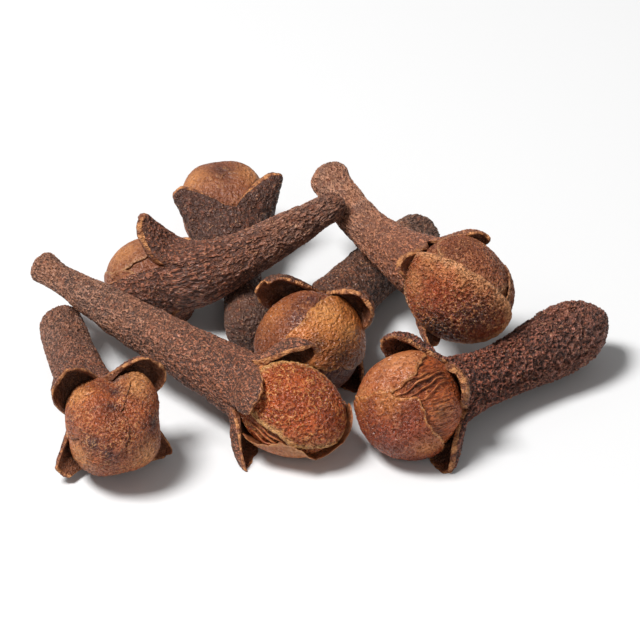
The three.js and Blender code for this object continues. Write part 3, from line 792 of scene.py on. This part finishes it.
def relief_tree(name, **sockets):
    """A new geometry tree with a Geometry input and output, the given inputs and a Material."""
    tree = bpy.data.node_groups.new(name, "GeometryNodeTree")
    tree.interface.new_socket("Geometry", in_out="INPUT", socket_type="NodeSocketGeometry")
    for label, kind in {**sockets, "Material": "Material"}.items():
        tree.interface.new_socket(label.replace("_", " "), in_out="INPUT", socket_type="NodeSocket" + kind)
    tree.interface.new_socket("Geometry", in_out="OUTPUT", socket_type="NodeSocketGeometry")
    return Nodes(tree), {s.name: s for s in tree.nodes.new("NodeGroupInput").outputs}


def end_tree(n, geometry, inputs):
    solid = n.add("GeometryNodeRealizeInstances", geometry)
    finished = n.add("GeometryNodeSetMaterial", solid, Material=inputs["Material"])
    n.put(finished, n.tree.nodes.new("NodeGroupOutput").inputs[0])
    return n.tree


def named(n, name, kind="FLOAT"):
    return n.add("GeometryNodeInputNamedAttribute", name, data_type=kind)


def seeded(n, where, seed):
    """Coordinates moved to another part of the noise by a seed."""
    if isinstance(seed, bpy.types.NodeSocket):
        return n.vector("ADD", where, n.scale(SEED_STEP, seed))
    return n.vector("ADD", where, tuple(seed * step for step in SEED_STEP))


def noise_at(n, where, scale, detail, out=0):
    return n.add("ShaderNodeTexNoise", Vector=where, Scale=scale, Detail=detail, out=out)


def patches(n, where, scale, detail, low, high):
    """1 where the noise is over high and 0 where it is under low."""
    return n.ramp(noise_at(n, where, scale, detail), low, high)


def weighed(n, *pairs):
    """The sum of values, each less its middle and times its weight."""
    total = None
    for value, middle, weight in pairs:
        part = n.times(n.math("SUBTRACT", value, middle), weight)
        total = part if total is None else n.math("ADD", total, part)
    return total


def line(n, away, breadth):
    """1 along a line and 0 from breadth away."""
    return n.math("SUBTRACT", 1.0, n.ramp(away, 0.0, breadth))


def shaken(n, where, scale, reach):
    """Coordinates bent by noise, so that what is drawn with them looks grown."""
    shake = noise_at(n, where, scale, 2.0, out="Color")
    return n.vector("ADD", where, n.scale(n.vector("SUBTRACT", shake, (0.5, 0.5, 0.5)), reach))


def winding(n, where, scale):
    """Distance, in noise values, from lines that wind and never close in cells."""
    return n.math("ABSOLUTE", n.math("SUBTRACT", noise_at(n, where, scale, 1.0), 0.5))


def bark_pattern(n, wrinkle, seed):
    """Height, about -1 to 1, and lightness, 0 to 1, of bark, from coordinates in wrinkle sizes."""
    wrinkle = seeded(n, wrinkle, seed)
    bent = shaken(n, wrinkle, 0.9, 1.4)
    coarse, fine = winding(n, bent, 0.9), winding(n, bent, 2.1)
    grit = noise_at(n, wrinkle, 2.4, 2.0)
    broad = weighed(n, (line(n, coarse, 0.13), 0.0, 0.7), (line(n, fine, 0.12), 0.0, 0.3))
    thin = n.math("MAXIMUM", line(n, coarse, 0.075), n.times(line(n, fine, 0.07), 0.8))
    height = weighed(n, (broad, 0.4, 1.5), (grit, 0.5, 1.1))
    light = weighed(n, (thin, 0.0, 0.58), (n.ramp(grit, 0.35, 0.7), 0.0, 0.42))
    return height, light


def bud_pattern(n, wrinkle, seed):
    """The same for the skin of a bud: a net of fine raised lines, with grit between."""
    wrinkle = seeded(n, wrinkle, seed)
    bent = shaken(n, wrinkle, 1.1, 2.2)
    border = n.add("ShaderNodeTexVoronoi", Vector=bent, Scale=0.85, feature="DISTANCE_TO_EDGE")
    crest = winding(n, bent, 1.2)
    grit = noise_at(n, wrinkle, 1.8, 3.0)
    broad = n.math("MAXIMUM", line(n, border, 0.28), line(n, crest, 0.08))
    thin = n.math("MAXIMUM", line(n, border, 0.10), line(n, crest, 0.03))
    height = weighed(n, (broad, 0.4, 1.0), (grit, 0.5, 1.4))
    light = weighed(n, (thin, 0.0, 0.55), (n.ramp(grit, 0.35, 0.68), 0.0, 0.45))
    return height, light


def skin_tree(name, pattern, detail):
    """Pushes a skin's points out along its normals, by its own fine pattern over slow swellings."""
    n, inputs = relief_tree(name, Relief_depth="Float", Swell_size="Float", Swell_depth="Float",
                            Seed="Float")
    seed = inputs["Seed"]
    height, _ = pattern(n, named(n, "wrinkle", "FLOAT_VECTOR"), seed)
    grain = seeded(n, named(n, "grain", "FLOAT_VECTOR"), seed)
    swell = noise_at(n, grain, n.math("DIVIDE", 1.0, inputs["Swell size"]), detail)
    high = n.math("ADD", n.times(height, inputs["Relief depth"]),
                  weighed(n, (swell, 0.5, inputs["Swell depth"])))
    push = n.scale(n.add("GeometryNodeInputNormal"), n.times(high, named(n, "keep"), MM))
    return end_tree(n, n.add("GeometryNodeSetPosition", inputs["Geometry"], Offset=push), inputs)


def strand_tree():
    """Round fibres along loose lines, as thick as their strand attribute says."""
    n, inputs = relief_tree("Strands", Sides="Int", Thickness="Float")
    size = n.times(named(n, "strand"), inputs["Thickness"])
    lines = n.add("GeometryNodeMeshToCurve", inputs["Geometry"])
    lines = n.add("GeometryNodeSetCurveRadius", lines, Radius=size)
    ring = n.add("GeometryNodeCurvePrimitiveCircle", Resolution=inputs["Sides"], Radius=MM)
    fibres = n.add("GeometryNodeCurveToMesh", lines, ring, Scale=size, Fill_Caps=True)
    return end_tree(n, n.add("GeometryNodeSetShadeSmooth", fibres), inputs)


def grain_tree():
    """Small round grains scattered over a skin."""
    n, inputs = relief_tree("Grains", Density="Float", Grain_radius="Float", Seed="Int")
    where = patches(n, named(n, "grain", "FLOAT_VECTOR"), 1.6, 3.0, 0.46, 0.60)
    density = n.times(inputs["Density"], where, named(n, "keep"))
    seed = inputs["Seed"]
    points = n.add("GeometryNodeDistributePointsOnFaces", inputs["Geometry"], Density=density, Seed=seed)
    size = n.add("FunctionNodeRandomValue", data_type="FLOAT", Min=SMALLEST_GRAIN, Max=1.0, Seed=seed)
    grain = n.add("GeometryNodeMeshIcoSphere", Radius=n.times(inputs["Grain radius"], MM), Subdivisions=1)
    return end_tree(n, n.add("GeometryNodeInstanceOnPoints", points, Instance=grain, Scale=size), inputs)


def placed_object(name, data):
    made = bpy.data.objects.new(name, data)
    bpy.context.scene.collection.objects.link(made)
    return made


def shaped(name, mesh, tree, values):
    """The mesh with a geometry tree worked into it."""
    piece = placed_object(name, mesh)
    modifier = piece.modifiers.new(tree.name, "NODES")
    modifier.node_group = tree
    sockets = {s.name: s.identifier for s in tree.interface.items_tree
               if s.item_type == "SOCKET" and s.in_out == "INPUT"}
    for label, value in values.items():
        modifier[sockets[label]] = value
    graph = bpy.context.evaluated_depsgraph_get()
    finished = bpy.data.meshes.new_from_object(piece.evaluated_get(graph), preserve_all_data_layers=True,
                                               depsgraph=graph)
    piece.modifiers.remove(modifier)
    piece.data = finished
    bpy.data.meshes.remove(mesh)
    finished.name = name
    finished.shade_smooth()
    return piece


def rest_on_floor(piece):
    """Presses what would be under the floor flat onto it."""
    points = np.empty(len(piece.data.vertices) * 3, np.float32)
    piece.data.vertices.foreach_get("co", points)
    points[2::3] = np.maximum(points[2::3], 0)
    piece.data.vertices.foreach_set("co", points)
    piece.data.update()


def settled(points):
    """Points in the heap, with what would be under the floor bent up onto it and still a leaf thick."""
    high = points[..., 2]
    points[..., 2] = (high + np.sqrt(high**2 + SOFT_FLOOR**2)) / 2
    return points


def hand_over(piece, node):
    rest_on_floor(piece)
    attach(piece, BODY)
    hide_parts(node)


# ---- Materials ----


def new_material(name):
    material = bpy.data.materials.new(name)
    material.use_nodes = True
    tree = material.node_tree
    tree.nodes.clear()
    shader = tree.nodes.new("ShaderNodeBsdfPrincipled")
    tree.links.new(shader.outputs[0], tree.nodes.new("ShaderNodeOutputMaterial").inputs[0])
    return material, Nodes(tree), shader


def opaque(colour):
    return (*colour[:3], 1.0)


def mix(n, factor, a, b):
    a, b = (v if isinstance(v, bpy.types.NodeSocket) else opaque(v) for v in (a, b))
    return n.add("ShaderNodeMix", factor, a, b, data_type="RGBA")


def layered(n, colour, *layers):
    """A colour with others laid over it one by one, each as strongly as its share says."""
    for share, over in layers:
        colour = mix(n, share, colour, over)
    return colour


def read(n, name, out="Fac"):
    return n.add("ShaderNodeAttribute", attribute_name=name, out=out)


def finish(n, shader, colour, height, depth, skin, grittiness, roughness):
    """Gives a shader its colour, its gloss and the relief's bump over a fine grit. skin is the settings."""
    fine = noise_at(n, read(n, "grain", "Vector"), 12.0, 3.0)
    grit = n.add("ShaderNodeBump", Strength=grittiness, Distance=GRIT_DEPTH * MM, Height=fine)
    bump = n.add("ShaderNodeBump", Strength=skin.bump, Distance=depth * MM, Height=height, Normal=grit)
    n.fill(shader, {"Base Color": colour, "Normal": bump, "Roughness": roughness, "IOR": REFRACTION,
                    "Specular IOR Level": skin.shine})


def bark_material(clove, bark):
    """Dark wrinkles and light crests, the crests partly their own colour and partly painted highlight, on a
    body that darkens towards the cup, warm patches and pale flecks, the inside of the teeth, and their torn
    edge."""
    material, n, shader = new_material(clove.name + "_bark")
    grain = read(n, "grain", "Vector")
    height, light = bark_pattern(n, read(n, "wrinkle", "Vector"), SEED)
    rim, inner, warm, cup = (read(n, key) for key in ("rim", "inner", "warm", "cup"))
    tone = bark.contrast * clove.contrast

    def tinted(share, *tint):
        """A share of the bark's main colour, with each of its three parts tinted."""
        return linear(*(share * (part * own) for part, own in zip(clove.bark, tint or (1, 1, 1))))

    body = layered(
        n, tinted(0.86),
        (patches(n, grain, 0.8, 3.0, 0.38, 0.62), tinted(1.0, 1.08, 1, 0.9)),
        (n.times(cup, 0.8), tinted(0.72, 1.02, 0.86, 0.78)))
    # Lighter crests: partly the bark's own colour and partly painted highlight.
    crest = mix(n, cup, tinted(1 + 0.4 * tone), tinted(1 + 0.45 * tone, 1, 0.88, 0.8))
    speck = n.times(patches(n, grain, 7.0, 2.0, 0.60, 0.70), n.ramp(light, 0.3, 0.6))
    hollow = layered(
        n, bark.hollow_colour,
        (patches(n, grain, 5.0, 3.0, 0.45, 0.75), bark.hollow_light_colour),
        (n.times(warm, 0.8), bark.membrane_colour))
    torn = n.math("ADD", rim, weighed(n, (noise_at(n, grain, 3.2, 4.0), 0.5, 2.2)))
    edge = mix(n, n.ramp(torn, 0.75, 1.25), bark.membrane_colour, bark.rim_colour)
    colour = layered(
        n, tinted(1 - 0.58 * tone, 1.1, 0.92, 0.88),
        (n.ramp(light, 0.0, 0.4), body),
        # The crests, partly painted highlight.
        (n.ramp(light, 0.45, 0.85), crest),
        (n.times(patches(n, grain, 4.2, 3.0, 0.55, 0.68), 0.42), bark.ember_colour),
        (n.times(speck, 0.85), bark.fleck_colour),
        (inner, hollow),
        (n.ramp(torn, 0.45, 0.9), edge))
    rough = n.add("ShaderNodeMapRange", light, 0.0, 1.0, *BARK_ROUGHNESS)
    finish(n, shader, colour, height, clove.wrinkle[1], bark, BARK_GRIT, rough)
    return material


def bud_material(name, look, bud):
    """Darker patches, light spots of paler skin and painted highlight, stains and painted shade, a pale
    margin, dark pits, light lines and flecks over a skin's main colour.
    """
    material, n, shader = new_material(name)
    grain = read(n, "grain", "Vector")
    height, light = bud_pattern(n, read(n, "wrinkle", "Vector"), SEED)
    stain, glow, edge = (read(n, key) for key in ("stain", "glow", "edge"))
    low, mid, high, pale_and_highlight_colour, pale, stain_and_shade_colour = (linear(*part) for part in look[:6])
    blotch = noise_at(n, grain, 2.5, 3.0)
    margin = n.ramp(n.math("ADD", edge, weighed(n, (blotch, 0.5, 1.0))), 0.3, 1.0)
    shown = n.times(n.ramp(light, 0.5, 0.9), patches(n, grain, 1.1, 2.0, 0.3, 0.62))
    colour = layered(
        n, mid,
        (n.times(patches(n, grain, 0.7, 3.0, 0.40, 0.62), 0.45), low),
        # Light patches: paler skin and painted highlight.
        (n.times(glow, n.ramp(blotch, 0.15, 0.5), 0.9), pale_and_highlight_colour),
        # Stains, with painted shade in creases, torn openings and under the petals.
        (n.times(stain, n.ramp(blotch, 0.2, 0.5), 0.9), stain_and_shade_colour),
        (n.times(margin, 0.85), pale),
        (n.times(n.ramp(light, 0.40, 0.05), look.pits), low),
        (n.times(shown, 1.3 * look.net), high),
        (n.times(patches(n, grain, 8.0, 1.0, 0.66, 0.76), look.specks), bud.fleck_colour))
    finish(n, shader, colour, height, look.grain[1], bud, look.rough - SMOOTH, look.rough)
    return material


def plain_material(name, settings, rough, shine):
    """A material that goes unevenly from one colour to another."""
    material, n, shader = new_material(name)
    uneven = patches(n, n.add("ShaderNodeTexCoord", out="Object"), 4000.0, 2.0, 0.4, 0.62)
    n.fill(shader, {"Base Color": mix(n, uneven, settings.colour, settings.second_colour),
                    "Roughness": rough, "Specular IOR Level": shine})
    return material


# ---- Settings that a user may change ----


def number(name, description, default, low=0, high=None, **kind):
    top = {} if high is None else {"max": high}
    return FloatProperty(name=name, description=description, default=default, min=low, **top, **kind)


def colour_property(name, description, default):
    return FloatVectorProperty(name=name, description=description, default=default, subtype="COLOR",
                               size=3, min=0, max=1)


def as_seen(name, description, *default):
    return colour_property(name, description, linear(*default))


def bump_strength():
    return number("Relief bump", "Strength of the relief in the shading", 1.0, 0, 1)


def gloss(default):
    return number("Shine", "Strength of the gloss", default, 0, 1)


class BarkSettings(bpy.types.PropertyGroup):
    swell_depth: number("Swell depth", "How far a stem swells and narrows at random, in millimetres",
                        0.16, 0, 0.5)
    contrast: number("Contrast", "How far the wrinkles and crests are from the main colour", 1.0, 0, 1.5)
    swell_size: number("Swell size", "From one swelling of a stem to the next, in millimetres", 1.0, 0.3)
    bump: bump_strength()
    shine: gloss(0.55)
    fleck_colour: as_seen("Flecks", "Colour of the pale flecks", 214, 156, 116)
    ember_colour: as_seen("Embers", "Colour of the small warm patches", 164, 88, 54)
    hollow_colour: as_seen("Hollow", "Colour inside the teeth", 98, 56, 36)
    hollow_light_colour: as_seen("Hollow, light", "Colour of the light grains in the teeth", 156, 98, 62)
    membrane_colour: as_seen("Membrane", "Colour just behind a tooth's torn edge", 160, 92, 54)
    rim_colour: as_seen("Torn edge", "Colour along a tooth's torn edge", 246, 168, 106)


class BudSettings(bpy.types.PropertyGroup):
    bump: bump_strength()
    shine: gloss(0.6)
    lump_size: number("Lump size", "From one lump of a bud to the next, in millimetres", 0.9, 0.3)
    fleck_colour: as_seen("Flecks", "Colour of the fine flecks", 212, 162, 114)


class StrandSettings(bpy.types.PropertyGroup):
    thickness: number("Thickness", "Thickness of the strands, over what the table says", 1.0, 0.1, 3)
    colour: as_seen("Strands", "Colour of the torn fibres", 168, 82, 40)
    second_colour: as_seen("Strands, light", "Second colour of the torn fibres", 214, 130, 74)


class GrainSettings(bpy.types.PropertyGroup):
    bud_density: number("Grains on buds", "Grains on each square metre of a bud's skin", 1.6e7)
    stem_density: number("Grains on stems", "Grains on each square metre of bark", 0.7e7)
    radius: number("Grain radius", "Radius of the largest grains, in millimetres", 0.03, 0.005, 0.2)
    colour: as_seen("Grains", "Colour of the grains", 196, 128, 82)
    second_colour: as_seen("Grains, pale", "Second colour of the grains", 226, 176, 128)


class StageSettings(bpy.types.PropertyGroup):
    floor_size: number("Floor size", "Side of the square floor", 3.0, 0.5, unit="LENGTH")
    floor_colour: colour_property("Floor", "Colour of the floor", (0.68, 0.68, 0.68))
    view_height: number("View height", "How far down the camera looks", math.radians(35),
                        subtype="ANGLE")
    view_distance: number("View distance", "From the camera to the heap", 0.26, unit="LENGTH")
    soft_light: number("Soft light", "Brightness of the light from all round", 0.24)
    key_light: number("Key light", "Power of the large lamp overhead", 1.12)


# ---- Operators ----


class CLOVE_OT_stage(bpy.types.Operator):
    """Makes the floor, the lights and the camera"""

    bl_idname = "clove.stage"
    bl_label = "Stage"

    def execute(self, context):
        scene, stage = context.scene, context.scene.clove_stage
        half = stage.floor_size / 2
        floor = bpy.data.meshes.new("floor")
        corners = [(-half, -half, 0), (half, -half, 0), (half, half, 0), (-half, half, 0)]
        floor.from_pydata(corners, [], [(0, 1, 2, 3)])
        piece = placed_object("floor", floor)
        material, n, shader = new_material("floor")
        n.fill(shader, {"Base Color": opaque(stage.floor_colour), "Roughness": FLOOR_ROUGHNESS})
        floor.materials.append(material)

        scene.world = bpy.data.worlds.new("studio")
        scene.world.use_nodes = True
        background = next(node for node in scene.world.node_tree.nodes if node.type == "BACKGROUND")
        background.inputs["Color"].default_value = (1, 1, 1, 1)
        background.inputs["Strength"].default_value = stage.soft_light
        self.lamp("key", *KEY_LAMP, stage.key_light)
        self.lamp("front", *FRONT_LAMP, stage.key_light * FRONT_SHARE)
        scene.view_settings.view_transform = "Standard"

        camera = placed_object("camera", bpy.data.cameras.new("camera"))
        down = stage.view_height
        back = np.array([0, -math.cos(down), math.sin(down)]) * stage.view_distance
        camera.location = np.array(VIEW_TARGET) * MM + back
        camera.rotation_euler = (math.pi / 2 - down, 0, 0)
        camera.data.sensor_width = SENSOR_WIDTH
        camera.data.lens = SENSOR_WIDTH * PIXELS_PER_MM * (stage.view_distance / MM) / PICTURE_SIDE
        camera.data.clip_start, camera.data.clip_end = CLIP_RANGE
        scene.camera = camera
        return {"FINISHED"}

    @staticmethod
    def lamp(name, place, size, power):
        light = bpy.data.lights.new(name, "AREA")
        light.size, light.energy = size, power
        lamp = placed_object(name, light)
        lamp.location = place
        lamp.rotation_euler = (-lamp.location).to_track_quat("-Z", "Y").to_euler()


def make_skin(clove, part, pose, skin, tree, depth, swell_size, swell_depth, material):
    """One skin of a clove, from its own points, faces and attributes."""
    local, faces, attributes = skin
    mesh = make_mesh("skin", settled(pose.place(local)), faces, attributes)
    piece = shaped(f"{clove.name}_{part}", mesh, tree, {
        "Relief depth": depth, "Swell size": swell_size, "Swell depth": swell_depth, "Seed": SEED,
        "Material": material,
    })
    hand_over(piece, clove.name)


class CLOVE_OT_stems(bpy.types.Operator):
    """Makes each clove's stem with its cup and teeth"""

    bl_idname = "clove.stems"
    bl_label = "Stems and cups"

    def execute(self, context):
        bark = context.scene.clove_bark
        tree = skin_tree("Bark relief", bark_pattern, 1.0)
        for clove in CLOVES:
            pose = Pose(clove)
            skin = stem_skin(clove, pose, random_for(clove, STEM))
            make_skin(clove, "stem", pose, skin, tree, clove.wrinkle[1], bark.swell_size, bark.swell_depth,
                      bark_material(clove, bark))
        return {"FINISHED"}


class CLOVE_OT_buds(bpy.types.Operator):
    """Makes each clove's bud and the petals that wrap it"""

    bl_idname = "clove.buds"
    bl_label = "Buds and petals"

    def execute(self, context):
        bud = context.scene.clove_bud
        tree = skin_tree("Bud relief", bud_pattern, 2.0)
        for clove in CLOVES:
            pose = Pose(clove)
            skins = [("bud", clove.look, bud_ball(clove, random_for(clove, BUD)))]
            for k, petal in enumerate(clove.petals):
                shell = petal_shell(clove, petal, random_for(clove, PETALS + k))
                skins.append((f"petal_{k + 1}", petal.look, shell))
            for part, name, skin in skins:
                look = LOOKS[name]
                make_skin(clove, part, pose, skin, tree, look.grain[1], bud.lump_size, look.lumps,
                          bud_material(f"{clove.name}_{part}", look, bud))
        return {"FINISHED"}


class CLOVE_OT_strands(bpy.types.Operator):
    """Makes the loose fibres where petals are torn"""

    bl_idname = "clove.strands"
    bl_label = "Torn fibres"

    def execute(self, context):
        settings = context.scene.clove_strand
        tree = strand_tree()
        material = plain_material("strand", settings, rough=0.5, shine=0.4)
        for clove in CLOVES:
            if clove.strands:
                local, pairs, radii = strand_lines(clove, random_for(clove, STRANDS))
                mesh = make_mesh("lines", Pose(clove).place(local), [], dict(strand=radii), edges=pairs)
                piece = shaped(clove.name + "_strands", mesh, tree, {
                    "Sides": STRAND_SIDES, "Thickness": settings.thickness, "Material": material,
                })
                hand_over(piece, clove.name)
        return {"FINISHED"}


class CLOVE_OT_grains(bpy.types.Operator):
    """Scatters fine grains over the buds, petals and stems that are there"""

    bl_idname = "clove.grains"
    bl_label = "Grains"

    def execute(self, context):
        settings = context.scene.clove_grain
        tree = grain_tree()
        material = plain_material("grain", settings, rough=0.4, shine=0.5)
        for clove in CLOVES:
            names = [f"{clove.name}_{part}" for part in ("stem", *clove.grainy)]
            for skin in [o for o in context.scene.objects if o.name in names]:
                dense = settings.stem_density if skin.name.endswith("_stem") else settings.bud_density
                piece = shaped(skin.name + "_grains", skin.data.copy(), tree, {
                    "Density": dense, "Grain radius": settings.radius, "Seed": int(SEED),
                    "Material": material,
                })
                hand_over(piece, clove.name)
        return {"FINISHED"}


class CLOVE_PT_panel(bpy.types.Panel):
    bl_idname = "CLOVE_PT_panel"
    bl_label = "Cloves"
    bl_space_type = "VIEW_3D"
    bl_region_type = "UI"
    bl_category = "Cloves"

    def draw(self, context):
        for operator in OPERATORS:
            self.layout.operator(operator.bl_idname)
        for name in SETTINGS:
            settings = getattr(context.scene, name)
            for key in settings.__annotations__:
                self.layout.prop(settings, key)


SETTINGS = dict(clove_bark=BarkSettings, clove_bud=BudSettings, clove_strand=StrandSettings,
                clove_grain=GrainSettings, clove_stage=StageSettings)
OPERATORS = (CLOVE_OT_stage, CLOVE_OT_stems, CLOVE_OT_buds, CLOVE_OT_strands, CLOVE_OT_grains)
CLASSES = (*SETTINGS.values(), *OPERATORS, CLOVE_PT_panel)


def register():
    for cls in CLASSES:
        bpy.utils.register_class(cls)
    for name, settings in SETTINGS.items():
        setattr(bpy.types.Scene, name, PointerProperty(type=settings))


def unregister():
    for name in SETTINGS:
        delattr(bpy.types.Scene, name)
    for cls in reversed(CLASSES):
        bpy.utils.unregister_class(cls)


def main():
    register()
    bpy.ops.clove.stage()
    bpy.ops.clove.stems()
    bpy.ops.clove.buds()
    bpy.ops.clove.strands()
    bpy.ops.clove.grains()


if __name__ == "__main__":
    main()
